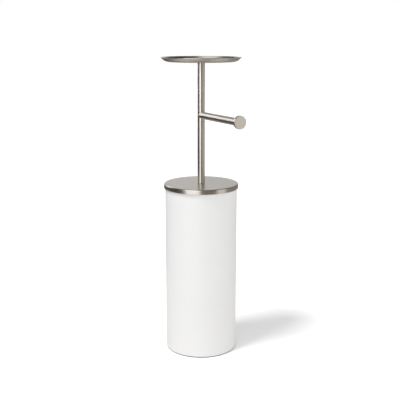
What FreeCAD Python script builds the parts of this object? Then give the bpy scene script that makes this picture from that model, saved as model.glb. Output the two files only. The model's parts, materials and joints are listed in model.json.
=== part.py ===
import FreeCAD, Part
import os
import Sketcher

# Free-standing toilet roll stand: a white canister for spare rolls under a brushed lid that carries
# a pole, a side arm for the roll in use and a shallow tray.
# Origin: centre of the foot pad's underside. +Z is up and the arm points along +X. Millimetres.

# Driving dimensions, one alias each in the sheet named Sizes
SIZES = {
    # Canister tube and the ring on its rim
    "CanisterDiameter": 150.0,
    "CanisterWall": 1.0,
    "CanisterLength": 351.7,
    "CanisterFloorGap": 2.0,
    "CanisterEdgeRound": 0.4,
    "TrimTop": 1.0,
    "TrimWall": 1.0,
    "TrimLeg": 10.0,
    "TrimEdgeRound": 0.4,
    # Base of the canister
    "FootPadInset": 2.0,
    "FootPadThickness": 3.0,
    "FootPadEdgeRound": 0.5,
    "PanSheet": 1.0,
    "PanFlangeDrop": 1.0,
    "PanInnerBend": 1.0,
    "BallastClearance": 3.0,
    "BallastThickness": 12.0,
    "BallastEdgeChamfer": 1.0,
    "BallastStudInset": 20.0,
    "BallastStudDiameter": 5.0,
    "BallastStudShow": 0.5,
    "BallastNutFlats": 8.0,
    "BallastNutThickness": 4.0,
    "BallastNutCover": 1.5,
    "BallastSocketRoom": 2.4,
    "LinerThickness": 2.0,
    "LinerLip": 6.0,
    "LinerClearance": 0.5,
    "LinerEdgeRound": 0.6,
    # Lid
    "SealThickness": 1.5,
    "SealClearance": 0.3,
    "SealInset": 0.4,
    "LidClearance": 1.3,
    "LidSheet": 1.2,
    "LidSkirt": 9.6,
    "LidInnerBend": 0.8,
    "LidSkirtRound": 0.5,
    "StiffenerDiameter": 80.0,
    "StiffenerThickness": 1.5,
    "StiffenerClearance": 0.3,
    "PlugFlange": 3.3,
    "PlugFlangeClearance": 0.3,
    "PlugSpigotClearance": 0.6,
    "PlugSpigotDepth": 12.0,
    "PlugWall": 2.0,
    "PlugBossMargin": 2.0,
    "PlugBossDepth": 6.0,
    "PlugRibThickness": 2.0,
    # Pole and the bolt that holds it to the lid
    "PoleDiameter": 15.0,
    "PoleWall": 1.2,
    "PoleLength": 249.8,
    "PoleFootPlugLength": 25.0,
    "PoleTopPlugLength": 20.0,
    "PoleBoltDiameter": 8.0,
    "PoleBoltFlats": 13.0,
    "PoleBoltHead": 5.3,
    "PoleBoltGrip": 18.0,
    "PoleBoltChamfer": 0.8,
    "PoleWasherDiameter": 30.0,
    "PoleWasherThickness": 1.5,
    "LockWasherDiameter": 14.0,
    "LockWasherThickness": 1.8,
    "LockWasherSplit": 1.5,
    # Side arm
    "ArmRise": 141.7,
    "ArmReach": 153.2,
    "ArmDiameter": 14.8,
    "ArmWall": 1.0,
    "ArmStudDiameter": 6.0,
    "ArmStudBackset": 1.25,
    "ArmStudGrip": 16.0,
    "ArmRootSetback": 1.5,
    "ArmRootPlugLength": 20.0,
    "BarrelNutLength": 16.0,
    "EndDiscDiameter": 26.1,
    "EndDiscThickness": 6.0,
    "EndDiscRound": 0.6,
    "EndSpigotLength": 12.0,
    # Tray
    "TrayDiameter": 163.0,
    "TrayDepth": 9.0,
    "TrayWallRun": 8.5,
    "TraySheet": 1.2,
    "TrayInnerBend": 13.8,
    "TrayRimLand": 0.8,
    "TrayRimRound": 0.3,
    "TrayStudDiameter": 6.0,
    "TrayStudLength": 14.0,
    # Fits and cuts
    "PressFit": 0.05,
    "ThreadFit": 0.1,
    "HoleClearance": 0.4,
    "Overrun": 1.0,
}

# Radii and heights that several pieces share, worked out from the driving dimensions
SHARED = {
    "CanisterRadius": "Sizes.CanisterDiameter / 2",
    "CanisterBore": "Sizes.CanisterDiameter / 2 - Sizes.CanisterWall",
    "CanisterTop": "Sizes.CanisterFloorGap + Sizes.CanisterLength",
    "TrimOuter": "CanisterBore - Sizes.PressFit",
    "TrimInner": "TrimOuter - Sizes.TrimWall",
    "MouthTop": "CanisterTop + Sizes.TrimTop",
    "PanRadius": "CanisterBore - Sizes.PressFit",
    "PanFloor": "Sizes.FootPadThickness + Sizes.PanSheet",
    "BallastRadius": "PanRadius - Sizes.PanSheet - Sizes.BallastClearance",
    "BallastTop": "PanFloor + Sizes.BallastThickness",
    "StudTop": "BallastTop - Sizes.BallastNutCover",
    "NutSeat": "StudTop - Sizes.BallastStudShow - Sizes.BallastNutThickness",
    "StudPlace": "BallastRadius - Sizes.BallastStudInset",
    "LinerRadius": "CanisterBore - Sizes.LinerClearance",
    "SpigotRadius": "TrimInner - Sizes.PlugSpigotClearance",
    "PlugSeat": "MouthTop + Sizes.SealThickness",
    "PlugTop": "PlugSeat + Sizes.PlugFlange",
    "LidTop": "PlugTop + Sizes.LidSheet",
    "LidBore": "CanisterRadius + Sizes.LidClearance",
    "LidRadius": "LidBore + Sizes.LidSheet",
    "LidBend": "Sizes.LidInnerBend + Sizes.LidSheet",
    "BoltHole": "Sizes.PoleBoltDiameter / 2 + Sizes.HoleClearance",
    "BossRadius": "Sizes.PoleWasherDiameter / 2 + Sizes.PlugBossMargin",
    "BossEnd": "PlugSeat - Sizes.PlugBossDepth",
    "WasherEnd": "BossEnd - Sizes.PoleWasherThickness",
    "BoltSeat": "WasherEnd - Sizes.LockWasherThickness",
    "PoleRadius": "Sizes.PoleDiameter / 2",
    "PoleBore": "Sizes.PoleDiameter / 2 - Sizes.PoleWall",
    "PoleFill": "PoleBore - Sizes.PressFit",
    "PoleTop": "LidTop + Sizes.PoleLength",
    "ArmLevel": "LidTop + Sizes.ArmRise",
    "ArmBore": "Sizes.ArmDiameter / 2 - Sizes.ArmWall",
    "ArmFill": "ArmBore - Sizes.PressFit",
    "ArmTip": "Sizes.ArmReach - Sizes.EndDiscThickness",
    "ArmStudBore": "Sizes.ArmStudDiameter / 2 + Sizes.ThreadFit",
    "ArmStudTail": "PoleFill - Sizes.ArmStudBackset",
    "ArmRoot": "PoleRadius + Sizes.ArmRootSetback",
    "TrayRadius": "Sizes.TrayDiameter / 2",
    "TrayFloor": "TrayRadius - Sizes.TrayWallRun",
    "TrayRim": "PoleTop + Sizes.TrayDepth",
    "TraySlope": "atan((Sizes.TrayDepth - Sizes.TrayRimLand) / Sizes.TrayWallRun)",
    "TrayWallAcross": "Sizes.TraySheet / sin(TraySlope)",
    "TrayStudBore": "Sizes.TrayStudDiameter / 2 + Sizes.ThreadFit",
}

BALLAST_STUDS = 3
PLUG_RIBS = 6
HEX_SIDES = 6
FULL_TURN = 360

# An edge's rounding takes at most this share of its wall
WALL_ROUND_SHARE = 0.45

# Two lengths closer than this are taken as the same when an edge is looked for
SAME_LENGTH = 1e-4

doc = FreeCAD.newDocument("roll_stand")


def fill_sheet(name, cells):
    """Write one row per value: its name in column A, the value with its alias in column B."""
    sheet = doc.addObject("Spreadsheet::Sheet", name)
    for row, (alias, content) in enumerate(cells.items(), start=1):
        sheet.set(f"A{row}", alias)
        sheet.set(f"B{row}", content)
        sheet.setAlias(f"B{row}", alias)
    return sheet


fill_sheet("Sizes", {alias: str(value) for alias, value in SIZES.items()})
shared_sheet = fill_sheet("Shared", {alias: f"={formula}" for alias, formula in SHARED.items()})
doc.recompute()


def size(formula):
    """The present value of a formula on the sheets, in millimetres."""
    return float(shared_sheet.evalExpression(formula))


def new_body(label):
    body = doc.addObject("PartDesign::Body", label)
    body.Label = label
    body.AllowCompound = True
    return body


def origin_feature(body, role):
    return next(feature for feature in body.Origin.OriginFeatures if feature.Role == role)


def new_sketch(body, name, role, lift="0", rise="0"):
    """A sketch on one of the body's own planes, moved along the plane's normal and up in the plane."""
    sketch = body.newObject("Sketcher::SketchObject", name)
    sketch.AttachmentSupport = (origin_feature(body, role), [""])
    sketch.MapMode = "FlatFace"
    sketch.setExpression("AttachmentOffset.Base.z", lift)
    sketch.setExpression("AttachmentOffset.Base.y", rise)
    doc.recompute()
    return sketch


def pin_point(sketch, item, spot, place):
    """Hold a point of a line or circle at a place given by two formulas."""
    for kind, axis, formula in (("DistanceX", -2, place[0]), ("DistanceY", -1, place[1])):
        if formula == "0":
            sketch.addConstraint(Sketcher.Constraint("PointOnObject", item, spot, axis))
        else:
            held = sketch.addConstraint(Sketcher.Constraint(kind, -1, 1, item, spot, size(formula)))
            sketch.setExpression(f"Constraints[{held}]", formula)


def draw_outline(sketch, corners):
    """A closed outline of straight lines through corners given as pairs of formulas."""
    points = [FreeCAD.Vector(size(across), size(up), 0) for across, up in corners]
    lines = [sketch.addGeometry(Part.LineSegment(start, end))
             for start, end in zip(points, points[1:] + points[:1])]
    for line, following in zip(lines, lines[1:] + lines[:1]):
        sketch.addConstraint(Sketcher.Constraint("Coincident", line, 2, following, 1))
    for line, corner in zip(lines, corners):
        pin_point(sketch, line, 1, corner)


def draw_circle(sketch, radius, across="0", up="0"):
    """A circle whose radius and centre are formulas."""
    centre = FreeCAD.Vector(size(across), size(up), 0)
    circle = sketch.addGeometry(Part.Circle(centre, FreeCAD.Vector(0, 0, 1), size(radius)))
    held = sketch.addConstraint(Sketcher.Constraint("Radius", circle, size(radius)))
    sketch.setExpression(f"Constraints[{held}]", radius)
    pin_point(sketch, circle, 3, (across, up))


def hex_reach(flats):
    """Distance from a hexagon's centre to its corners, from its width across flats."""
    return f"{flats} / (2 * cos({FULL_TURN / HEX_SIDES / 2}))"


def hex_corners(flats, across="0"):
    turns = [FULL_TURN / HEX_SIDES * side for side in range(HEX_SIDES)]
    reach = hex_reach(flats)
    return [(f"{across} + {reach} * cos({turn})", f"{reach} * sin({turn})") for turn in turns]


def within_wall(rounding, *walls):
    """A rounding that two facing edges of a wall leave room for."""
    limits = "; ".join(f"{wall} * {WALL_ROUND_SHARE}" for wall in walls)
    return f"min({rounding}; {limits})"


def pad(body, sketch, name, length, reverse=False):
    feature = body.newObject("PartDesign::Pad", name)
    feature.Profile = sketch
    feature.setExpression("Length", length)
    feature.Reversed = reverse
    doc.recompute()
    return feature


def pocket(body, sketch, name, length, reverse=False, both_ways=False):
    """Cut the sketch out of the body, and stop if nothing was cut."""
    before = body.Shape.Volume
    feature = body.newObject("PartDesign::Pocket", name)
    feature.Profile = sketch
    feature.setExpression("Length", length)
    feature.Reversed = reverse
    feature.Midplane = both_ways
    doc.recompute()
    if not feature.Shape.Volume < before:
        raise RuntimeError(f"{body.Label}: {name} cuts nothing")
    return feature


def revolve(body, sketch, axis="V_Axis"):
    feature = body.newObject("PartDesign::Revolution", f"{body.Label}_turned")
    feature.Profile = sketch
    feature.ReferenceAxis = (sketch, [axis])
    feature.Angle = FULL_TURN
    doc.recompute()
    return feature


def pattern_round(body, features, name, count):
    """Repeat features evenly about the vertical axis."""
    feature = body.newObject("PartDesign::PolarPattern", name)
    feature.Originals = features
    feature.Axis = (origin_feature(body, "Z_Axis"), [""])
    feature.Angle = FULL_TURN
    feature.Occurrences = count
    body.Tip = feature
    doc.recompute()
    return feature


def circle_edges(shape, places):
    """Names of the circular edges with a given radius and centre position along an axis."""
    names = []
    for number, edge in enumerate(shape.Edges, start=1):
        if not isinstance(edge.Curve, Part.Circle):
            continue
        for radius, axis, position in places:
            near = abs(edge.Curve.Radius - size(radius)) < SAME_LENGTH
            level = abs(getattr(edge.Curve.Center, axis) - size(position)) < SAME_LENGTH
            if near and level:
                names.append(f"Edge{number}")
    if len(names) < len(places):
        raise RuntimeError(f"only {len(names)} of {len(places)} edges were found")
    return names


def dress_edges(body, kind, amount, places):
    """Round or chamfer circular edges, found by radius and position."""
    base = body.Tip
    feature = body.newObject(f"PartDesign::{kind}", f"{body.Label}_{kind.lower()}")
    feature.Base = (base, circle_edges(base.Shape, places))
    feature.setExpression("Radius" if kind == "Fillet" else "Size", amount)
    doc.recompute()
    return feature


def turned_body(label, corners, axis="V_Axis", rise="0"):
    """A body turned about the vertical axis, or about a level axis along X at the height rise."""
    body = new_body(label)
    sketch = new_sketch(body, f"{label}_outline", "XZ_Plane", rise=rise)
    draw_outline(sketch, corners)
    revolve(body, sketch, axis)
    return body


def ring_corners(inner, outer, low, high):
    return [(inner, low), (outer, low), (outer, high), (inner, high)]


# Canister


def canister_tube():
    """Rolled wall, open at both ends, with its lower edge just off the floor."""
    body = turned_body("canister_tube", ring_corners(
        "Shared.CanisterBore", "Shared.CanisterRadius", "Sizes.CanisterFloorGap", "Shared.CanisterTop"))
    dress_edges(body, "Fillet", within_wall("Sizes.CanisterEdgeRound", "Sizes.CanisterWall"), [
        ("Shared.CanisterRadius", "z", "Sizes.CanisterFloorGap"),
        ("Shared.CanisterBore", "z", "Sizes.CanisterFloorGap")])
    return body


def mouth_trim():
    """Edge ring that sits on the tube's cut rim and reaches down inside it."""
    leg_end = "Shared.CanisterTop - Sizes.TrimLeg"
    body = turned_body("mouth_trim", [
        ("Shared.TrimInner", leg_end),
        ("Shared.TrimOuter", leg_end),
        ("Shared.TrimOuter", "Shared.CanisterTop"),
        ("Shared.CanisterRadius", "Shared.CanisterTop"),
        ("Shared.CanisterRadius", "Shared.MouthTop"),
        ("Shared.TrimInner", "Shared.MouthTop")])
    dress_edges(body, "Fillet", within_wall("Sizes.TrimEdgeRound", "Sizes.TrimWall", "Sizes.TrimTop"), [
        ("Shared.CanisterRadius", "z", "Shared.MouthTop"),
        ("Shared.TrimInner", "z", "Shared.MouthTop"),
        ("Shared.TrimInner", "z", leg_end)])
    return body


def base_pan():
    """Pressed pan that closes the tube, with its flange turned up against the wall."""
    under = "Sizes.FootPadThickness"
    lip = "Shared.BallastTop - Sizes.PanFlangeDrop"
    inside = "Shared.PanRadius - Sizes.PanSheet"
    body = turned_body("base_pan", [
        ("0", under),
        ("Shared.PanRadius", under),
        ("Shared.PanRadius", lip),
        (inside, lip),
        (inside, "Shared.PanFloor"),
        ("0", "Shared.PanFloor")])
    dress_edges(body, "Fillet", "Sizes.PanInnerBend + Sizes.PanSheet", [("Shared.PanRadius", "z", under)])
    dress_edges(body, "Fillet", "Sizes.PanInnerBend", [(inside, "z", "Shared.PanFloor")])
    return body


def ballast_plate():
    """Round weight on the pan, bored for the studs and their nuts."""
    body = new_body("ballast_plate")
    disc = new_sketch(body, "ballast_disc", "XY_Plane", lift="Shared.PanFloor")
    draw_circle(disc, "Shared.BallastRadius")
    pad(body, disc, "ballast_blank", "Sizes.BallastThickness")
    dress_edges(body, "Chamfer", "Sizes.BallastEdgeChamfer", [
        ("Shared.BallastRadius", "z", "Shared.PanFloor"),
        ("Shared.BallastRadius", "z", "Shared.BallastTop")])
    hole = new_sketch(body, "stud_hole", "XY_Plane", lift="Shared.BallastTop")
    draw_circle(hole, "Sizes.BallastStudDiameter / 2 + Sizes.HoleClearance", "Shared.StudPlace")
    through = pocket(body, hole, "stud_hole_cut", "Sizes.BallastThickness + Sizes.Overrun")
    bore = new_sketch(body, "nut_bore", "XY_Plane", lift="Shared.BallastTop")
    draw_circle(bore, f"{hex_reach('Sizes.BallastNutFlats')} + Sizes.BallastSocketRoom", "Shared.StudPlace")
    seat = pocket(body, bore, "nut_bore_cut", "Shared.BallastTop - Shared.NutSeat")
    pattern_round(body, [through, seat], "stud_holes", BALLAST_STUDS)
    return body


def ballast_studs():
    """Studs welded upright on the pan."""
    body = new_body("ballast_studs")
    section = new_sketch(body, "stud_section", "XY_Plane", lift="Shared.PanFloor")
    draw_circle(section, "Sizes.BallastStudDiameter / 2", "Shared.StudPlace")
    stud = pad(body, section, "stud", "Shared.StudTop - Shared.PanFloor")
    pattern_round(body, [stud], "stud_ring", BALLAST_STUDS)
    return body


def ballast_nuts():
    """Hexagon nuts at the bottom of the plate's bores."""
    body = new_body("ballast_nuts")
    section = new_sketch(body, "nut_section", "XY_Plane", lift="Shared.NutSeat")
    draw_outline(section, hex_corners("Sizes.BallastNutFlats", "Shared.StudPlace"))
    draw_circle(section, "Sizes.BallastStudDiameter / 2 + Sizes.ThreadFit", "Shared.StudPlace")
    nut = pad(body, section, "nut", "Sizes.BallastNutThickness")
    pattern_round(body, [nut], "nut_ring", BALLAST_STUDS)
    return body


def floor_liner():
    """Shallow dish over the ballast, on which the spare rolls stand."""
    inside = "Shared.LinerRadius - Sizes.LinerThickness"
    top = "Shared.BallastTop + Sizes.LinerLip"
    floor = "Shared.BallastTop + Sizes.LinerThickness"
    body = turned_body("floor_liner", [
        ("0", "Shared.BallastTop"),
        ("Shared.LinerRadius", "Shared.BallastTop"),
        ("Shared.LinerRadius", top),
        (inside, top),
        (inside, floor),
        ("0", floor)])
    dress_edges(body, "Fillet", within_wall("Sizes.LinerEdgeRound", "Sizes.LinerThickness"), [
        ("Shared.LinerRadius", "z", top),
        (inside, "z", top),
        (inside, "z", floor)])
    return body


def foot_pad():
    """Non-slip disc under the pan, set in from the wall."""
    edge = "Shared.CanisterRadius - Sizes.FootPadInset"
    body = new_body("foot_pad")
    disc = new_sketch(body, "pad_disc", "XY_Plane")
    draw_circle(disc, edge)
    pad(body, disc, "pad_blank", "Sizes.FootPadThickness")
    dress_edges(body, "Fillet", "Sizes.FootPadEdgeRound", [(edge, "z", "0")])
    return body


# Lid


def lid_seal():
    """Soft ring on the mouth, on which the lid sits and turns."""
    return turned_body("lid_seal", ring_corners(
        "Shared.SpigotRadius + Sizes.SealClearance", "Shared.CanisterRadius - Sizes.SealInset",
        "Shared.MouthTop", "Shared.PlugSeat"))


def lid_cap():
    """Drawn cap with a short skirt around the mouth."""
    skirt_end = "Shared.LidTop - Sizes.LidSkirt"
    body = turned_body("lid_cap", [
        ("Shared.BoltHole", "Shared.PlugTop"),
        ("Shared.LidBore", "Shared.PlugTop"),
        ("Shared.LidBore", skirt_end),
        ("Shared.LidRadius", skirt_end),
        ("Shared.LidRadius", "Shared.LidTop"),
        ("Shared.BoltHole", "Shared.LidTop")])
    dress_edges(body, "Fillet", "Shared.LidBend", [("Shared.LidRadius", "z", "Shared.LidTop")])
    dress_edges(body, "Fillet", "Sizes.LidInnerBend", [("Shared.LidBore", "z", "Shared.PlugTop")])
    dress_edges(body, "Fillet", within_wall("Sizes.LidSkirtRound", "Sizes.LidSheet"), [
        ("Shared.LidRadius", "z", skirt_end),
        ("Shared.LidBore", "z", skirt_end)])
    return body


def lid_stiffener():
    """Disc under the cap that spreads the pole's load."""
    return turned_body("lid_stiffener", ring_corners(
        "Shared.BoltHole", "Sizes.StiffenerDiameter / 2",
        "Shared.PlugTop - Sizes.StiffenerThickness", "Shared.PlugTop"))


def lid_plug():
    """Moulded plug: a flange under the cap, a spigot in the mouth, a boss and ribs between them."""
    recess = "Sizes.StiffenerDiameter / 2 + Sizes.StiffenerClearance"
    recess_floor = "Shared.PlugTop - Sizes.StiffenerThickness"
    flange = "Shared.LidBore - Sizes.PlugFlangeClearance"
    spigot_bore = "Shared.SpigotRadius - Sizes.PlugWall"
    spigot_end = "Shared.PlugSeat - Sizes.PlugSpigotDepth"
    body = turned_body("lid_plug", [
        ("Shared.BoltHole", recess_floor),
        (recess, recess_floor),
        (recess, "Shared.PlugTop"),
        (flange, "Shared.PlugTop"),
        (flange, "Shared.PlugSeat"),
        ("Shared.SpigotRadius", "Shared.PlugSeat"),
        ("Shared.SpigotRadius", spigot_end),
        (spigot_bore, spigot_end),
        (spigot_bore, "Shared.PlugSeat"),
        ("Shared.BossRadius", "Shared.PlugSeat"),
        ("Shared.BossRadius", "Shared.BossEnd"),
        ("Shared.BoltHole", "Shared.BossEnd")])
    dress_edges(body, "Chamfer", "Shared.LidBend", [(flange, "z", "Shared.PlugTop")])
    rib_start = "Shared.BossRadius - Sizes.PlugWall"
    rib_end = "Shared.SpigotRadius - Sizes.PlugWall / 2"
    section = new_sketch(body, "rib_section", "XY_Plane", lift="Shared.PlugSeat")
    draw_outline(section, [
        (rib_start, "-Sizes.PlugRibThickness / 2"),
        (rib_end, "-Sizes.PlugRibThickness / 2"),
        (rib_end, "Sizes.PlugRibThickness / 2"),
        (rib_start, "Sizes.PlugRibThickness / 2")])
    rib = pad(body, section, "rib", "Sizes.PlugBossDepth", reverse=True)
    pattern_round(body, [rib], "ribs", PLUG_RIBS)
    return body


def pole_washer():
    """Wide washer under the plug's boss."""
    return turned_body("pole_washer", ring_corners(
        "Shared.BoltHole", "Sizes.PoleWasherDiameter / 2", "Shared.WasherEnd", "Shared.BossEnd"))


def pole_lock_washer():
    """Split ring between the washer and the bolt's head."""
    body = turned_body("pole_lock_washer", ring_corners(
        "Shared.BoltHole", "Sizes.LockWasherDiameter / 2", "Shared.BoltSeat", "Shared.WasherEnd"))
    split = new_sketch(body, "split_outline", "XY_Plane", lift="Shared.WasherEnd")
    far = "Sizes.LockWasherDiameter / 2 + Sizes.Overrun"
    draw_outline(split, [
        ("0", "-Sizes.LockWasherSplit / 2"),
        (far, "-Sizes.LockWasherSplit / 2"),
        (far, "Sizes.LockWasherSplit / 2"),
        ("0", "Sizes.LockWasherSplit / 2")])
    pocket(body, split, "split", "Sizes.LockWasherThickness + Sizes.Overrun")
    return body


def pole_bolt():
    """Hexagon bolt that comes up through the lid into the pole's foot."""
    body = new_body("pole_bolt")
    head = new_sketch(body, "bolt_head_section", "XY_Plane", lift="Shared.BoltSeat")
    draw_outline(head, hex_corners("Sizes.PoleBoltFlats"))
    pad(body, head, "bolt_head", "Sizes.PoleBoltHead", reverse=True)
    shank = new_sketch(body, "bolt_shank_section", "XY_Plane", lift="Shared.BoltSeat")
    draw_circle(shank, "Sizes.PoleBoltDiameter / 2")
    tip = "Shared.LidTop + Sizes.PoleBoltGrip"
    pad(body, shank, "bolt_shank", f"{tip} - Shared.BoltSeat")
    dress_edges(body, "Chamfer", "Sizes.PoleBoltChamfer", [("Sizes.PoleBoltDiameter / 2", "z", tip)])
    return body


# Pole


def pole_tube():
    """Upright tube with one hole for the arm's stud."""
    body = turned_body("pole_tube", ring_corners(
        "Shared.PoleBore", "Shared.PoleRadius", "Shared.LidTop", "Shared.PoleTop"))
    hole = new_sketch(body, "arm_hole", "YZ_Plane")
    draw_circle(hole, "Sizes.ArmStudDiameter / 2 + Sizes.HoleClearance", up="Shared.ArmLevel")
    pocket(body, hole, "arm_hole_cut", "Shared.PoleRadius + Sizes.Overrun", reverse=True)
    return body


def pole_foot_plug():
    """Tapped plug, flush with the pole's lower end."""
    return turned_body("pole_foot_plug", ring_corners(
        "Sizes.PoleBoltDiameter / 2 + Sizes.ThreadFit", "Shared.PoleFill",
        "Shared.LidTop", "Shared.LidTop + Sizes.PoleFootPlugLength"))


def pole_top_plug():
    """Tapped plug, flush with the pole's upper end."""
    return turned_body("pole_top_plug", ring_corners(
        "Shared.TrayStudBore", "Shared.PoleFill",
        "Shared.PoleTop - Sizes.PoleTopPlugLength", "Shared.PoleTop"))


# Side arm


def arm_tube():
    """Level tube whose inner end is coped to the pole."""
    body = new_body("arm_tube")
    section = new_sketch(body, "arm_section", "YZ_Plane")
    draw_circle(section, "Sizes.ArmDiameter / 2", up="Shared.ArmLevel")
    draw_circle(section, "Shared.ArmBore", up="Shared.ArmLevel")
    pad(body, section, "arm_blank", "Shared.ArmTip")
    cope = new_sketch(body, "cope_circle", "XY_Plane", lift="Shared.ArmLevel")
    draw_circle(cope, "Shared.PoleRadius + Sizes.PressFit")
    pocket(body, cope, "cope", "Sizes.ArmDiameter + Sizes.Overrun", both_ways=True)
    return body


def arm_barrel_nut():
    """Cross-tapped slug inside the pole at the arm's level."""
    body = turned_body("arm_barrel_nut", [
        ("0", "Shared.ArmLevel - Sizes.BarrelNutLength / 2"),
        ("Shared.PoleFill", "Shared.ArmLevel - Sizes.BarrelNutLength / 2"),
        ("Shared.PoleFill", "Shared.ArmLevel + Sizes.BarrelNutLength / 2"),
        ("0", "Shared.ArmLevel + Sizes.BarrelNutLength / 2")])
    thread = new_sketch(body, "nut_thread", "YZ_Plane")
    draw_circle(thread, "Shared.ArmStudBore", up="Shared.ArmLevel")
    pocket(body, thread, "nut_thread_cut", "Sizes.PoleDiameter", both_ways=True)
    return body


def arm_stud():
    """Stud that draws the arm against the pole."""
    body = new_body("arm_stud")
    section = new_sketch(body, "arm_stud_section", "YZ_Plane", lift="-Shared.ArmStudTail")
    draw_circle(section, "Sizes.ArmStudDiameter / 2", up="Shared.ArmLevel")
    pad(body, section, "arm_stud_rod", "Shared.ArmStudTail + Shared.ArmRoot + Sizes.ArmStudGrip")
    return body


def arm_root_plug():
    """Tapped plug in the arm's inner end."""
    end = "Shared.ArmRoot + Sizes.ArmRootPlugLength"
    return turned_body("arm_root_plug", [
        ("Shared.ArmRoot", "Shared.ArmStudBore"),
        (end, "Shared.ArmStudBore"),
        (end, "Shared.ArmFill"),
        ("Shared.ArmRoot", "Shared.ArmFill")], "H_Axis", "Shared.ArmLevel")


def arm_end_cap():
    """Turned disc that keeps the roll on the arm, with a spigot in the tube."""
    disc = "Sizes.EndDiscDiameter / 2"
    spigot_start = "Shared.ArmTip - Sizes.EndSpigotLength"
    body = turned_body("arm_end_cap", [
        (spigot_start, "0"),
        ("Sizes.ArmReach", "0"),
        ("Sizes.ArmReach", disc),
        ("Shared.ArmTip", disc),
        ("Shared.ArmTip", "Shared.ArmFill"),
        (spigot_start, "Shared.ArmFill")], "H_Axis", "Shared.ArmLevel")
    dress_edges(body, "Fillet", "Sizes.EndDiscRound", [
        (disc, "x", "Sizes.ArmReach"),
        (disc, "x", "Shared.ArmTip")])
    return body


# Tray


def tray_dish():
    """Pressed dish with a flat floor, a wide bend and a low sloping wall."""
    floor = "Shared.PoleTop + Sizes.TraySheet"
    inner_floor = "Shared.TrayFloor + Sizes.TraySheet / tan(Shared.TraySlope) - Shared.TrayWallAcross"
    inner_rim = "Shared.TrayRadius + Sizes.TrayRimLand / tan(Shared.TraySlope) - Shared.TrayWallAcross"
    body = turned_body("tray_dish", [
        ("0", "Shared.PoleTop"),
        ("Shared.TrayFloor", "Shared.PoleTop"),
        ("Shared.TrayRadius", "Shared.TrayRim - Sizes.TrayRimLand"),
        ("Shared.TrayRadius", "Shared.TrayRim"),
        (inner_rim, "Shared.TrayRim"),
        (inner_floor, floor),
        ("0", floor)])
    dress_edges(body, "Fillet", "Sizes.TrayInnerBend + Sizes.TraySheet", [
        ("Shared.TrayFloor", "z", "Shared.PoleTop")])
    dress_edges(body, "Fillet", "Sizes.TrayInnerBend", [(inner_floor, "z", floor)])
    dress_edges(body, "Fillet", within_wall("Sizes.TrayRimRound", "Sizes.TraySheet", "Sizes.TrayRimLand"), [
        ("Shared.TrayRadius", "z", "Shared.TrayRim"),
        (inner_rim, "z", "Shared.TrayRim")])
    return body


def tray_stud():
    """Stud welded under the dish that screws into the pole."""
    body = new_body("tray_stud")
    section = new_sketch(body, "tray_stud_section", "XY_Plane", lift="Shared.PoleTop")
    draw_circle(section, "Sizes.TrayStudDiameter / 2")
    pad(body, section, "tray_stud_rod", "Sizes.TrayStudLength", reverse=True)
    return body


PIECES = [
    canister_tube, mouth_trim, base_pan, ballast_plate, ballast_studs, ballast_nuts, floor_liner, foot_pad,
    lid_seal, lid_cap, lid_stiffener, lid_plug, pole_washer, pole_lock_washer, pole_bolt,
    pole_tube, pole_foot_plug, pole_top_plug,
    arm_tube, arm_barrel_nut, arm_stud, arm_root_plug, arm_end_cap,
    tray_dish, tray_stud,
]

bodies = [make_piece() for make_piece in PIECES]
doc.recompute()

# Stop before anything is written if a feature or a shape is at fault
for item in doc.Objects:
    if "Invalid" in item.State or "Error" in item.State:
        raise RuntimeError(f"{item.Label}: {item.State}")
for body in bodies:
    if body.Shape.isNull() or not body.Shape.isValid():
        raise RuntimeError(f"{body.Label}: the shape is not valid")

os.makedirs("parts", exist_ok=True)
for body in bodies:
    body.Shape.exportStep(f"parts/{body.Label}.step")
    print(f"{body.Label}: {len(body.Shape.Solids)} solid, {body.Shape.Volume:.1f} mm3")
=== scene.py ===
"""Looks of a free-standing toilet roll stand: a white coated canister for spare rolls under a brushed nickel
lid that carries a pole, a side arm for the roll in use and a shallow tray."""

import json
import math

import bmesh
import bpy
from mathutils import Matrix, Vector


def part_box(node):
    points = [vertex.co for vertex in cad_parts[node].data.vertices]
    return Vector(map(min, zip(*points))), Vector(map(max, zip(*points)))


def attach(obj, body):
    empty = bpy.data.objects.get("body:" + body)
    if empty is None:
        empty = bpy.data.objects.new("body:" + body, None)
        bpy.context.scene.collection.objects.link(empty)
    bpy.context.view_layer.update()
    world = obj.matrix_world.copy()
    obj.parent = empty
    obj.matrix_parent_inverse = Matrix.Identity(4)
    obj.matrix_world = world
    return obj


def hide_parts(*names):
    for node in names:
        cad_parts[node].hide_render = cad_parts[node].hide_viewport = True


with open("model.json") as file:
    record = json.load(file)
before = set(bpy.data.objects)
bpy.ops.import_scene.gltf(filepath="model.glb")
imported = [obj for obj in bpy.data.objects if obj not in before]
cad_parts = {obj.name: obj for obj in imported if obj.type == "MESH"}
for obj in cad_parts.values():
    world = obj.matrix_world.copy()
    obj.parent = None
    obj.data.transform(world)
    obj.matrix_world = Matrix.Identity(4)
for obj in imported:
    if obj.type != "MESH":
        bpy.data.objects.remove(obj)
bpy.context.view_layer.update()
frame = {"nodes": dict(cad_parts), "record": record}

MM = 0.001
FULL_TURN = 2 * math.pi
UP = Vector((0, 0, 1))

# Camera of the photograph: its place round the stand, its tilt and its lens
CAMERA_AZIMUTH = math.radians(61.0)
CAMERA_DISTANCE = 1.55
CAMERA_HEIGHT = 0.6685
CAMERA_TILT = math.radians(12.545)
CAMERA_LENS = 67.84
CAMERA_SENSOR = 36.0
CAMERA_SHIFT = -0.00275

# Steps of a full turn, and how finely a rounded edge is divided
ROUND_STEPS = 180
EDGE_SEGMENTS = 4
EDGE_SEGMENT_LENGTH = 1.5 * MM
# A straight run of an outline is split this far from its ends, so that a round's shading stays on the round
HOLD = 0.5 * MM
# Shorter runs are left whole
LONG_RUN = 4 * HOLD
SAME_PLACE = 0.001 * MM
SHARP_ANGLE = math.radians(32)

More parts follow.
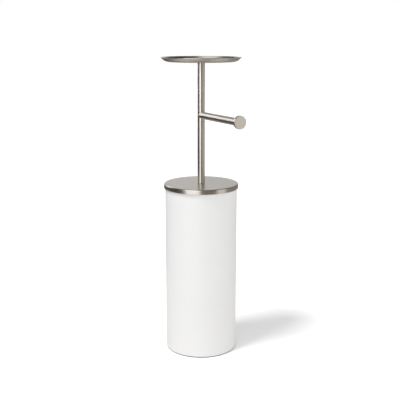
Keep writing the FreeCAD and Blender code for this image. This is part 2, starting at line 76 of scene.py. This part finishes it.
# Sheet and wall thicknesses and edge rounds that the boxes of the frame don't show
PRESS_FIT = 0.05 * MM
CANISTER_WALL = 1.0 * MM
CANISTER_EDGE_ROUND = 0.4 * MM
TRIM_WALL = 1.0 * MM
TRIM_EDGE_ROUND = 0.4 * MM
PAD_EDGE_ROUND = 0.5 * MM
LINER_WALL = 2.0 * MM
LINER_EDGE_ROUND = 0.6 * MM
SEAL_WALL = 1.95 * MM
SEAL_EDGE_ROUND = 0.4 * MM
LID_SHEET = 1.2 * MM
LID_BEND = 2.0 * MM
LID_SKIRT_ROUND = 0.5 * MM
LID_HOLE = 4.4 * MM
POLE_WALL = 1.2 * MM
POLE_EDGE_ROUND = 0.3 * MM
ARM_WALL = 1.0 * MM
DISC_EDGE_ROUND = 0.6 * MM
DISC_THICKNESS = 6.0 * MM
TRAY_SHEET = 1.2 * MM
TRAY_WALL_RUN = 8.5 * MM
TRAY_BEND = 13.8 * MM
TRAY_RIM_LAND = 0.8 * MM
TRAY_RIM_ROUND = 0.3 * MM

# Name of the map that lays the brushing: U runs along the strokes and V across them, in metres
GRAIN_MAP = "grain"
# Sheet pieces are brushed straight, square to the line from the camera
STRAIGHT_GRAIN = Vector((math.cos(CAMERA_AZIMUTH), math.sin(CAMERA_AZIMUTH), 0))


# Sizes read from the frame


def reach(node):
    """Radius of a piece that is round about the stand's axis."""
    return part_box(node)[1].x


def bottom(node):
    """Lowest level of a piece."""
    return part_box(node)[0].z


def top(node):
    """Highest level of a piece."""
    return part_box(node)[1].z


# Node helpers


def node(tree, kind, inputs=None, **settings):
    """A new node: settings are its own properties, and an input is linked to a socket or set to a value."""
    made = tree.nodes.new(kind)
    for name, value in settings.items():
        setattr(made, name, value)
    for name, value in (inputs or {}).items():
        if isinstance(value, bpy.types.NodeSocket):
            tree.links.new(value, made.inputs[name])
        else:
            made.inputs[name].default_value = value
    return made


def math_node(tree, operation, first, second):
    """The result of a sum on two sockets or numbers."""
    return node(tree, "ShaderNodeMath", {0: first, 1: second}, operation=operation).outputs[0]


def colour_between(tree, share, dark, light):
    """A colour that goes from dark to light with share."""
    mix = node(tree, "ShaderNodeMix", {0: share, 6: (*dark, 1), 7: (*light, 1)}, data_type="RGBA")
    return mix.outputs[2]


def value_between(tree, share, low, high):
    """A value that goes from low to high with share."""
    inputs = {"Value": share, "To Min": low, "To Max": high}
    return node(tree, "ShaderNodeMapRange", inputs).outputs["Result"]


def new_group(name, inputs, outputs):
    """An empty shader group with its named sockets, and its two end nodes."""
    group = bpy.data.node_groups.new(name, "ShaderNodeTree")
    for title, kind, value in inputs:
        socket = group.interface.new_socket(title, in_out="INPUT", socket_type=kind)
        if value is not None:
            socket.default_value = value
    for title in outputs:
        group.interface.new_socket(title, in_out="OUTPUT", socket_type="NodeSocketFloat")
    return group, group.nodes.new("NodeGroupInput"), group.nodes.new("NodeGroupOutput")


def use_group(tree, group, inputs):
    """Places a group with its own values."""
    return node(tree, "ShaderNodeGroup", inputs, node_tree=group)


# Effects that several finishes share


def make_brush_strokes():
    """Long thin strokes, fine and broad, along the first axis of a place given in metres."""
    group, start, end = new_group(
        "brush strokes",
        [
            ("Place", "NodeSocketVector", None),
            ("Length", "NodeSocketFloat", 0.03),
            ("Width", "NodeSocketFloat", 0.0003),
            ("Broad Width", "NodeSocketFloat", 0.002),
        ],
        ["Fine", "Broad"],
    )

    def strokes(width):
        along = math_node(group, "DIVIDE", 1.0, start.outputs["Length"])
        across = math_node(group, "DIVIDE", 1.0, width)
        scale = node(group, "ShaderNodeCombineXYZ", {"X": along, "Y": across, "Z": 1.0})
        place = node(
            group,
            "ShaderNodeVectorMath",
            {0: start.outputs["Place"], 1: scale.outputs["Vector"]},
            operation="MULTIPLY",
        )
        inputs = {"Vector": place.outputs["Vector"], "Scale": 1.0, "Detail": 3.0, "Roughness": 0.6}
        return node(group, "ShaderNodeTexNoise", inputs).outputs["Fac"]

    group.links.new(strokes(start.outputs["Width"]), end.inputs["Fine"])
    group.links.new(strokes(start.outputs["Broad Width"]), end.inputs["Broad"])
    return group


def make_fine_skin():
    """Even small bumps, such as orange peel in a coat or the grain of a moulding, and slow clouds of tone."""
    group, start, end = new_group(
        "fine skin",
        [
            ("Place", "NodeSocketVector", None),
            ("Bump Size", "NodeSocketFloat", 0.001),
            ("Cloud Size", "NodeSocketFloat", 0.06),
        ],
        ["Bumps", "Clouds"],
    )
    for size, detail, output in (("Bump Size", 2.0, "Bumps"), ("Cloud Size", 4.0, "Clouds")):
        scale = math_node(group, "DIVIDE", 1.0, start.outputs[size])
        inputs = {"Vector": start.outputs["Place"], "Scale": scale, "Detail": detail, "Roughness": 0.5}
        noise = node(group, "ShaderNodeTexNoise", inputs)
        group.links.new(noise.outputs["Fac"], end.inputs[output])
    return group


BRUSH_STROKES = make_brush_strokes()
FINE_SKIN = make_fine_skin()


# Finishes, one for each material slot of the record


def new_finish(name):
    """A material with its Principled shader."""
    finish = bpy.data.materials.new(name)
    finish.use_nodes = True
    return finish, finish.node_tree, finish.node_tree.nodes["Principled BSDF"]


def set_bump(tree, shader, height, strength, distance):
    """Turns a height into the shader's normal."""
    inputs = {"Height": height, "Strength": strength, "Distance": distance}
    bump = node(tree, "ShaderNodeBump", inputs)
    tree.links.new(bump.outputs["Normal"], shader.inputs["Normal"])


def brushed_nickel():
    """Warm nickel plate over fine brushing that follows the grain map."""
    finish, tree, shader = new_finish("brushed nickel")
    grain = node(tree, "ShaderNodeUVMap", uv_map=GRAIN_MAP)
    strokes = use_group(
        tree,
        BRUSH_STROKES,
        {"Place": grain.outputs["UV"], "Length": 45 * MM, "Width": 0.35 * MM, "Broad Width": 2.4 * MM},
    )
    both = math_node(tree, "ADD", strokes.outputs["Fine"], strokes.outputs["Broad"])
    share = math_node(tree, "MULTIPLY", both, 0.5)
    tone = colour_between(tree, share, dark=(0.58, 0.545, 0.50), light=(0.76, 0.715, 0.66))
    rough = value_between(tree, share, low=0.26, high=0.40)
    tree.links.new(tone, shader.inputs["Base Color"])
    tree.links.new(rough, shader.inputs["Roughness"])
    set_bump(tree, shader, strokes.outputs["Fine"], strength=0.06, distance=0.03 * MM)
    tangent = node(tree, "ShaderNodeTangent", direction_type="UV_MAP", uv_map=GRAIN_MAP)
    tree.links.new(tangent.outputs["Tangent"], shader.inputs["Tangent"])
    shader.inputs["Metallic"].default_value = 1.0
    shader.inputs["Anisotropic"].default_value = 0.75
    # A quarter turn spreads the gloss across the strokes, as brushing does
    shader.inputs["Anisotropic Rotation"].default_value = 0.25
    return finish


def skin_finish(name, dark, light, rough, cloud_size, bump_size, bump_strength, bump_depth, metallic=0.0):
    """A finish whose tone and roughness drift in slow clouds under an even fine bump."""
    finish, tree, shader = new_finish(name)
    place = node(tree, "ShaderNodeTexCoord").outputs["Object"]
    skin = use_group(tree, FINE_SKIN, {"Place": place, "Bump Size": bump_size, "Cloud Size": cloud_size})
    tree.links.new(colour_between(tree, skin.outputs["Clouds"], dark, light), shader.inputs["Base Color"])
    tree.links.new(value_between(tree, skin.outputs["Clouds"], *rough), shader.inputs["Roughness"])
    set_bump(tree, shader, skin.outputs["Bumps"], bump_strength, bump_depth)
    shader.inputs["Metallic"].default_value = metallic
    return finish


def white_coat():
    """White satin powder coat with a slight orange peel."""
    return skin_finish(
        "white coat",
        dark=(0.85, 0.845, 0.84),
        light=(0.89, 0.885, 0.88),
        rough=(0.42, 0.5),
        cloud_size=70 * MM,
        bump_size=1.2 * MM,
        bump_strength=0.12,
        bump_depth=0.03 * MM,
    )


def white_plastic():
    """Moulded plastic with a fine matte grain."""
    return skin_finish(
        "white plastic",
        dark=(0.82, 0.82, 0.80),
        light=(0.86, 0.86, 0.84),
        rough=(0.48, 0.58),
        cloud_size=40 * MM,
        bump_size=0.5 * MM,
        bump_strength=0.15,
        bump_depth=0.03 * MM,
    )


def pad_rubber():
    """Dark foam rubber with open pores."""
    return skin_finish(
        "pad rubber",
        dark=(0.045, 0.045, 0.045),
        light=(0.075, 0.073, 0.07),
        rough=(0.85, 0.95),
        cloud_size=15 * MM,
        bump_size=0.7 * MM,
        bump_strength=0.5,
        bump_depth=0.15 * MM,
    )


def seal_rubber():
    """Soft grey silicone."""
    return skin_finish(
        "seal rubber",
        dark=(0.52, 0.52, 0.51),
        light=(0.58, 0.58, 0.57),
        rough=(0.55, 0.65),
        cloud_size=20 * MM,
        bump_size=0.4 * MM,
        bump_strength=0.15,
        bump_depth=0.03 * MM,
    )


def cast_iron():
    """Rough casting under dark primer."""
    return skin_finish(
        "cast iron",
        dark=(0.12, 0.12, 0.13),
        light=(0.2, 0.2, 0.205),
        rough=(0.65, 0.85),
        cloud_size=12 * MM,
        bump_size=1.6 * MM,
        bump_strength=0.6,
        bump_depth=0.3 * MM,
    )


def plated_steel(name, dark, light, rough, cloud_size):
    """Steel under a thin coat of zinc, whose crystals are the clouds."""
    return skin_finish(
        name,
        dark,
        light,
        rough,
        cloud_size,
        bump_size=0.6 * MM,
        bump_strength=0.1,
        bump_depth=0.02 * MM,
        metallic=1.0,
    )


def sheet_steel():
    """Pressed sheet with the spangle of its zinc coat."""
    return plated_steel(
        "sheet steel",
        dark=(0.52, 0.53, 0.55),
        light=(0.70, 0.71, 0.72),
        rough=(0.38, 0.55),
        cloud_size=9 * MM,
    )


def zinc_steel():
    """Bright zinc plate on fasteners and turned plugs."""
    return plated_steel(
        "zinc steel",
        dark=(0.58, 0.59, 0.62),
        light=(0.70, 0.71, 0.73),
        rough=(0.26, 0.38),
        cloud_size=5 * MM,
    )


FINISHES = {
    make.__name__: make()
    for make in (
        white_coat,
        brushed_nickel,
        white_plastic,
        pad_rubber,
        seal_rubber,
        sheet_steel,
        zinc_steel,
        cast_iron,
    )
}


# Turned shapes


def round_corner(bm, corner, radius):
    """Rounds the corner of an outline to a radius."""
    one, other = (edge.other_vert(corner).co - corner.co for edge in corner.link_edges)
    setback = radius / math.tan(one.angle(other) / 2)
    bmesh.ops.bevel(
        bm,
        geom=[corner],
        offset=setback,
        offset_type="OFFSET",
        affect="VERTICES",
        segments=EDGE_SEGMENTS + int(radius / EDGE_SEGMENT_LENGTH),
        profile=0.5,
        material=-1,
    )


def hold_runs(bm):
    """Splits the long straight runs of an outline close to their ends."""
    for edge in [edge for edge in bm.edges if edge.calc_length() > LONG_RUN]:
        for end in edge.verts[:]:
            if end.co.x < SAME_PLACE:
                continue
            run = max(end.link_edges, key=lambda linked: linked.calc_length())
            bmesh.utils.edge_split(run, end, HOLD / run.calc_length())


def turned(corners, closed=True):
    """Turns an outline of (radius, height, round) corners about the vertical axis."""
    bm = bmesh.new()
    points = [bm.verts.new((radius, 0, height)) for radius, height, _ in corners]
    for start, end in zip(points, points[1:]):
        bm.edges.new((start, end))
    if closed:
        bm.edges.new((points[-1], points[0]))
    for point, (_, _, rounding) in zip(points, corners):
        if rounding:
            round_corner(bm, point, rounding)
    hold_runs(bm)
    bmesh.ops.spin(
        bm,
        geom=bm.verts[:] + bm.edges[:],
        cent=(0, 0, 0),
        axis=UP,
        dvec=(0, 0, 0),
        angle=FULL_TURN,
        steps=ROUND_STEPS,
        use_merge=True,
    )
    bmesh.ops.remove_doubles(bm, verts=bm.verts, dist=SAME_PLACE)
    bmesh.ops.recalc_face_normals(bm, faces=bm.faces)
    return bm


def lay_round_grain(bm, faces=None):
    """Brushes faces round the vertical axis, with the map's seam turned away from the camera."""
    grain = bm.loops.layers.uv.get(GRAIN_MAP) or bm.loops.layers.uv.new(GRAIN_MAP)
    back = CAMERA_AZIMUTH + math.pi / 2

    def turn(place):
        return (math.atan2(place.y, place.x) - back) % FULL_TURN

    for face in faces or bm.faces:
        middle = face.calc_center_median()
        facing = turn(middle)
        for loop in face.loops:
            place = loop.vert.co
            radius = place.xy.length
            angle = turn(place) if radius > SAME_PLACE else facing
            if angle - facing > math.pi:
                angle -= FULL_TURN
            elif facing - angle > math.pi:
                angle += FULL_TURN
            loop[grain].uv = (angle * middle.xy.length, place.z + radius)


def lay_straight_grain(bm, direction, faces=None):
    """Brushes faces straight along a level direction."""
    grain = bm.loops.layers.uv.get(GRAIN_MAP) or bm.loops.layers.uv.new(GRAIN_MAP)
    across = UP.cross(direction)
    for face in faces or bm.faces:
        for loop in face.loops:
            place = loop.vert.co
            loop[grain].uv = (place.dot(direction), place.dot(across) + place.z)


def level_faces(bm):
    """Faces that lie level or nearly so."""
    return [face for face in bm.faces if abs(face.normal.z) > math.cos(SHARP_ANGLE)]


def lay_along_arm(bm):
    """Turns a piece made about the vertical axis to lie along the arm."""
    along_x = Matrix.Rotation(math.pi / 2, 4, "Y")
    bmesh.ops.transform(bm, matrix=Matrix.Translation((0, 0, ARM_LEVEL)) @ along_x, verts=bm.verts)


def finished(bm, name, body, stands_for, slot):
    """Makes the object of a piece that rides on a body in place of a node of the frame."""
    mesh = bpy.data.meshes.new(name)
    for face in bm.faces:
        face.smooth = True
    bm.to_mesh(mesh)
    bm.free()
    mesh.set_sharp_from_angle(angle=SHARP_ANGLE)
    mesh.materials.append(FINISHES[slot])
    piece = bpy.data.objects.new(name, mesh)
    bpy.context.scene.collection.objects.link(piece)
    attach(piece, body)
    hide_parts(stands_for)
    return piece


# Canister


def canister_shell():
    """Coated wall with softened lower edges."""
    outer = reach("canister_tube")
    bore = outer - CANISTER_WALL
    low = bottom("canister_tube")
    high = top("canister_tube")
    bm = turned([
        (bore, low, CANISTER_EDGE_ROUND),
        (outer, low, CANISTER_EDGE_ROUND),
        (outer, high, 0),
        (bore, high, 0),
    ])
    return finished(bm, "canister_shell", "canister", "canister_tube", "white_coat")


def mouth_ring():
    """Edge ring that covers the wall's cut rim."""
    outer = reach("mouth_trim")
    leg = outer - CANISTER_WALL - PRESS_FIT
    inner = leg - TRIM_WALL
    low = bottom("mouth_trim")
    rim = top("canister_tube")
    high = top("mouth_trim")
    bm = turned([
        (inner, low, TRIM_EDGE_ROUND),
        (leg, low, 0),
        (leg, rim, 0),
        (outer, rim, 0),
        (outer, high, TRIM_EDGE_ROUND),
        (inner, high, TRIM_EDGE_ROUND),
    ])
    return finished(bm, "mouth_ring", "canister", "mouth_trim", "white_plastic")


def roll_floor():
    """Shallow dish on which the spare rolls stand."""
    outer = reach("floor_liner")
    inner = outer - LINER_WALL
    low = bottom("floor_liner")
    floor = low + LINER_WALL
    high = top("floor_liner")
    bm = turned([
        (0, low, 0),
        (outer, low, 0),
        (outer, high, LINER_EDGE_ROUND),
        (inner, high, LINER_EDGE_ROUND),
        (inner, floor, LINER_EDGE_ROUND),
        (0, floor, 0),
    ], closed=False)
    return finished(bm, "roll_floor", "canister", "floor_liner", "white_plastic")


def foot_disc():
    """Non-slip disc, set in from the wall."""
    outer = reach("foot_pad")
    low = bottom("foot_pad")
    high = top("foot_pad")
    bm = turned([
        (0, low, 0),
        (outer, low, PAD_EDGE_ROUND),
        (outer, high, 0),
        (0, high, 0),
    ], closed=False)
    return finished(bm, "foot_disc", "canister", "foot_pad", "pad_rubber")


# Lid


def lid_gasket():
    """Soft ring on which the lid sits and turns."""
    outer = reach("lid_seal")
    inner = outer - SEAL_WALL
    low = bottom("lid_seal")
    high = top("lid_seal")
    bm = turned([
        (inner, low, SEAL_EDGE_ROUND),
        (outer, low, SEAL_EDGE_ROUND),
        (outer, high, SEAL_EDGE_ROUND),
        (inner, high, SEAL_EDGE_ROUND),
    ])
    return finished(bm, "lid_gasket", "seal", "lid_seal", "seal_rubber")


def lid_cover():
    """Drawn cap: its top is brushed straight and its skirt round."""
    outer = reach("lid_cap")
    bore = outer - LID_SHEET
    low = bottom("lid_cap")
    high = top("lid_cap")
    bm = turned([
        (LID_HOLE, high - LID_SHEET, 0),
        (bore, high - LID_SHEET, LID_BEND - LID_SHEET),
        (bore, low, LID_SKIRT_ROUND),
        (outer, low, LID_SKIRT_ROUND),
        (outer, high, LID_BEND),
        (LID_HOLE, high, 0),
    ])
    lay_round_grain(bm)
    lay_straight_grain(bm, STRAIGHT_GRAIN, level_faces(bm))
    return finished(bm, "lid_cover", "lid", "lid_cap", "brushed_nickel")


# Pole, arm and tray

POLE_RADIUS = reach("pole_tube")
ARM_LOW, ARM_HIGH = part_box("arm_tube")
ARM_LEVEL = (ARM_LOW.z + ARM_HIGH.z) / 2
ARM_RADIUS = (ARM_HIGH.z - ARM_LOW.z) / 2


def pole():
    """Upright tube, brushed round."""
    low = bottom("pole_tube")
    high = top("pole_tube")
    bm = turned([
        (POLE_RADIUS - POLE_WALL, low, 0),
        (POLE_RADIUS, low, POLE_EDGE_ROUND),
        (POLE_RADIUS, high, POLE_EDGE_ROUND),
        (POLE_RADIUS - POLE_WALL, high, 0),
    ])
    lay_round_grain(bm)
    return finished(bm, "pole", "lid", "pole_tube", "brushed_nickel")


def arm():
    """Level tube, brushed round, with its inner end coped to the pole."""
    bore = ARM_RADIUS - ARM_WALL
    bm = turned([
        (bore, POLE_RADIUS, 0),
        (ARM_RADIUS, POLE_RADIUS, 0),
        (ARM_RADIUS, ARM_HIGH.x, 0),
        (bore, ARM_HIGH.x, 0),
    ])
    lay_round_grain(bm)
    lay_along_arm(bm)
    for vert in bm.verts:
        if vert.co.x < POLE_RADIUS + SAME_PLACE:
            vert.co.x = math.sqrt((POLE_RADIUS + PRESS_FIT) ** 2 - vert.co.y ** 2)
    return finished(bm, "arm", "lid", "arm_tube", "brushed_nickel")


def arm_end_disc():
    """Turned disc that keeps the roll on the arm, with its spigot in the tube."""
    low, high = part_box("arm_end_cap")
    disc = (high.z - low.z) / 2
    tip = high.x - DISC_THICKNESS
    spigot = ARM_RADIUS - ARM_WALL - PRESS_FIT
    bm = turned([
        (0, low.x, 0),
        (spigot, low.x, 0),
        (spigot, tip, 0),
        (disc, tip, DISC_EDGE_ROUND),
        (disc, high.x, DISC_EDGE_ROUND),
        (0, high.x, 0),
    ], closed=False)
    lay_round_grain(bm)
    lay_straight_grain(bm, Vector((0, 1, 0)), level_faces(bm))
    lay_along_arm(bm)
    return finished(bm, "arm_end_disc", "lid", "arm_end_cap", "brushed_nickel")


def tray():
    """Dish pressed from straight brushed sheet: a flat floor, a wide bend and a low sloping wall."""
    outer = reach("tray_dish")
    low = bottom("tray_dish")
    rim = top("tray_dish")
    floor_edge = outer - TRAY_WALL_RUN
    slope = math.atan2(rim - TRAY_RIM_LAND - low, TRAY_WALL_RUN)
    across = TRAY_SHEET / math.sin(slope)
    bm = turned([
        (0, low, 0),
        (floor_edge, low, TRAY_BEND + TRAY_SHEET),
        (outer, rim - TRAY_RIM_LAND, 0),
        (outer, rim, TRAY_RIM_ROUND),
        (outer + TRAY_RIM_LAND / math.tan(slope) - across, rim, TRAY_RIM_ROUND),
        (floor_edge + TRAY_SHEET / math.tan(slope) - across, low + TRAY_SHEET, TRAY_BEND),
        (0, low + TRAY_SHEET, 0),
    ], closed=False)
    lay_straight_grain(bm, STRAIGHT_GRAIN)
    return finished(bm, "tray", "lid", "tray_dish", "brushed_nickel")


for make_piece in (
    canister_shell,
    mouth_ring,
    roll_floor,
    foot_disc,
    lid_gasket,
    lid_cover,
    pole,
    arm,
    arm_end_disc,
    tray,
):
    make_piece()

# Each node of the frame has its slot's finish, and the inner pieces keep the frame's own shapes
for row in frame["record"]["subparts"]:
    frame_node = frame["nodes"][row["node"]]
    frame_node.material_slots[0].material = FINISHES[row["material_slot"]]


# Stage: floor, light, and the panels of the studio that the gloss mirrors, in metres

FLOOR_SIDE = 14.0
# The floor's tone to the camera, what it adds there by itself, and its tone as bounce
FLOOR_SEEN = 1.0
FLOOR_GLOW = 0.06
FLOOR_BOUNCE = 0.65

# The panels' circle, the dark room round it, and how finely both are divided
STUDIO_RADIUS = 1.25
STUDIO_ROOM_RADIUS = 3.0
STUDIO_DARK = 0.04
STUDIO_STEPS = 48
PANEL_STEPS = 24
PLAIN = (1.0, 1.0, 1.0)
WARM = (1.0, 0.965, 0.9)
COOL = (0.97, 0.985, 1.0)
# Name, left and right edge in degrees from the camera, minus to its left, low and high edge, level and tint
UPRIGHT_PANELS = (
    ("front_left_low_panel", -47, -3, -0.9, 0.42, 1.22, PLAIN),
    ("front_left_middle_panel", -55, -4, 0.42, 0.6, 1.75, PLAIN),
    ("front_left_high_panel", -55, -4, 0.6, 1.4, 2.45, PLAIN),
    ("front_panel", 2, 49, -0.9, 1.5, 0.15, WARM),
    ("right_panel", 49, 80, -0.9, 1.2, 0.85, WARM),
    ("far_right_panel", 80, 165, -0.9, 1.2, 0.25, WARM),
    ("left_panel", -138, -112, 0.51, 1.5, 2.4, PLAIN),
    ("rear_panel", 150, 215, 0.42, 1.3, 0.86, COOL),
    ("rear_high_panel", 166, 200, 1.3, 2.5, 0.42, COOL),
)
# Name, degrees from the camera and distance of the middle, height, radius, level and tint
LEVEL_PANELS = (
    ("overhead_panel", -90, 0.33, 1.9, 0.43, 1.35, PLAIN),
    ("overhead_rim_panel", 90, 0.1, 1.95, 0.5, 0.2, PLAIN),
    ("floor_panel", 0, 0, -0.003, 0.58, 0.66, WARM),
)

# The sky's level at the horizon, what its bright side adds there, and how far it falls towards the zenith
SKY_LEVEL = 1.08
SKY_TILT = 0.30
SKY_FALL = 0.66
SKY_BRIGHT_AZIMUTH = CAMERA_AZIMUTH + math.radians(36)

# The light that throws the shadow: its direction, strength and spread
KEY_AZIMUTH = CAMERA_AZIMUTH - math.radians(54.5)
KEY_RISE = math.radians(68)
KEY_STRENGTH = 1.85
KEY_SPREAD = math.radians(13)


def level_direction(azimuth):
    """Direction from the stand's axis, as the camera's azimuth is measured."""
    return Vector((math.sin(azimuth), -math.cos(azimuth), 0))


def stage_object(bm, name, material):
    """Makes an object that belongs to the stage, not to the stand."""
    mesh = bpy.data.meshes.new(name)
    bm.to_mesh(mesh)
    bm.free()
    mesh.materials.append(material)
    made = bpy.data.objects.new(name, mesh)
    bpy.context.scene.collection.objects.link(made)
    return made


def add_floor():
    """Pale floor that keeps the shadow: white to the camera, a little less so as bounce, clear from below."""
    material = bpy.data.materials.new("floor paper")
    material.use_nodes = True
    tree = material.node_tree
    tree.nodes.clear()
    path = node(tree, "ShaderNodeLightPath")
    tone = colour_between(tree, path.outputs["Is Camera Ray"], (FLOOR_BOUNCE,) * 3, (FLOOR_SEEN,) * 3)
    paper = node(tree, "ShaderNodeBsdfDiffuse", {"Color": tone})
    lift = math_node(tree, "MULTIPLY", path.outputs["Is Camera Ray"], FLOOR_GLOW)
    light = node(tree, "ShaderNodeEmission", {"Color": (1, 1, 1, 1), "Strength": lift})
    both = node(tree, "ShaderNodeAddShader", {0: paper.outputs["BSDF"], 1: light.outputs["Emission"]})
    below = node(tree, "ShaderNodeNewGeometry").outputs["Backfacing"]
    clear = node(tree, "ShaderNodeBsdfTransparent")
    sides = node(tree, "ShaderNodeMixShader", {0: below, 1: both.outputs["Shader"], 2: clear.outputs["BSDF"]})
    node(tree, "ShaderNodeOutputMaterial", {"Surface": sides.outputs["Shader"]})
    bm = bmesh.new()
    bmesh.ops.create_grid(bm, x_segments=1, y_segments=1, size=FLOOR_SIDE / 2)
    floor = stage_object(bm, "floor", material)
    floor.visible_glossy = False


def glow(name, level, tint):
    """A plain light surface that casts no light of its own on matt surfaces."""
    material = bpy.data.materials.new(name)
    material.use_nodes = True
    material.cycles.emission_sampling = "NONE"
    tree = material.node_tree
    tree.nodes.clear()
    light = node(tree, "ShaderNodeEmission", {"Color": (*tint, 1), "Strength": level})
    node(tree, "ShaderNodeOutputMaterial", {"Surface": light.outputs["Emission"]})
    return material


def only_in_gloss(surface):
    """Leaves a surface to be seen in gloss alone."""
    surface.visible_camera = False
    surface.visible_diffuse = False
    surface.visible_transmission = False
    surface.visible_volume_scatter = False
    surface.visible_shadow = False


def add_panel(name, left, right, low, high, level, tint):
    """An upright curved panel between two azimuths, in degrees from the camera, minus to its left."""
    bm = bmesh.new()
    foot = level_direction(CAMERA_AZIMUTH + math.radians(left)) * STUDIO_RADIUS
    ends = [bm.verts.new(foot + UP * height) for height in (low, high)]
    edge = bm.edges.new(ends)
    bmesh.ops.spin(
        bm,
        geom=ends + [edge],
        cent=(0, 0, 0),
        axis=UP,
        dvec=(0, 0, 0),
        angle=math.radians(right - left),
        steps=PANEL_STEPS,
    )
    only_in_gloss(stage_object(bm, name, glow(name, level, tint)))


def add_level_panel(name, azimuth, distance, height, radius, level, tint):
    """A level round panel, its middle at a distance from the stand's axis."""
    bm = bmesh.new()
    bmesh.ops.create_circle(bm, cap_ends=True, segments=STUDIO_STEPS, radius=radius)
    middle = level_direction(CAMERA_AZIMUTH + math.radians(azimuth)) * distance + UP * height
    bmesh.ops.translate(bm, vec=middle, verts=bm.verts)
    only_in_gloss(stage_object(bm, name, glow(name, level, tint)))


def add_studio():
    """Dark room with light panels round the stand, seen only in its gloss."""
    bm = bmesh.new()
    bmesh.ops.create_uvsphere(
        bm, u_segments=STUDIO_STEPS, v_segments=STUDIO_STEPS // 2, radius=STUDIO_ROOM_RADIUS
    )
    only_in_gloss(stage_object(bm, "studio_room", glow("studio room", STUDIO_DARK, WARM)))
    for panel in UPRIGHT_PANELS:
        add_panel(*panel)
    for panel in LEVEL_PANELS:
        add_level_panel(*panel)


def add_world():
    """White to the camera and in gloss; as light, brightest low at the front right and weaker overhead."""
    world = bpy.data.worlds.new("studio light")
    bpy.context.scene.world = world
    world.use_nodes = True
    tree = world.node_tree
    tree.nodes.clear()
    direction = node(tree, "ShaderNodeTexCoord").outputs["Generated"]
    bright = level_direction(SKY_BRIGHT_AZIMUTH) * SKY_TILT - UP * SKY_FALL
    toward = node(tree, "ShaderNodeVectorMath", {0: direction, 1: bright}, operation="DOT_PRODUCT")
    strength = math_node(tree, "ADD", toward.outputs["Value"], SKY_LEVEL)
    light = node(tree, "ShaderNodeBackground", {"Color": (1, 1, 1, 1), "Strength": strength})
    seen = node(tree, "ShaderNodeBackground", {"Color": (1, 1, 1, 1), "Strength": 1.0})
    path = node(tree, "ShaderNodeLightPath")
    gloss = math_node(tree, "MAXIMUM", path.outputs["Is Glossy Ray"], path.outputs["Is Transmission Ray"])
    direct = math_node(tree, "MAXIMUM", path.outputs["Is Camera Ray"], gloss)
    mix = node(tree, "ShaderNodeMixShader", {0: direct, 1: light.outputs[0], 2: seen.outputs[0]})
    node(tree, "ShaderNodeOutputWorld", {"Surface": mix.outputs["Shader"]})


def add_key_light():
    """Large soft light from the upper left front, which throws the shadow to the right."""
    lamp = bpy.data.lights.new("key_light", "SUN")
    lamp.energy = KEY_STRENGTH
    lamp.angle = KEY_SPREAD
    holder = bpy.data.objects.new("key_light", lamp)
    bpy.context.scene.collection.objects.link(holder)
    source = level_direction(KEY_AZIMUTH) * math.cos(KEY_RISE) + UP * math.sin(KEY_RISE)
    holder.rotation_euler = source.to_track_quat("Z", "Y").to_euler()
    # The panels stand for this light in the gloss
    holder.visible_glossy = False


def add_camera():
    """Camera of the photograph."""
    camera = bpy.data.cameras.new("camera")
    camera.lens = CAMERA_LENS
    camera.sensor_width = CAMERA_SENSOR
    camera.shift_x = CAMERA_SHIFT
    holder = bpy.data.objects.new("camera", camera)
    bpy.context.scene.collection.objects.link(holder)
    holder.location = level_direction(CAMERA_AZIMUTH) * CAMERA_DISTANCE + UP * CAMERA_HEIGHT
    holder.rotation_euler = (math.pi / 2 - CAMERA_TILT, 0, CAMERA_AZIMUTH)
    bpy.context.scene.camera = holder


add_floor()
add_studio()
add_world()
add_key_light()
add_camera()
bpy.context.scene.view_settings.view_transform = "Standard"
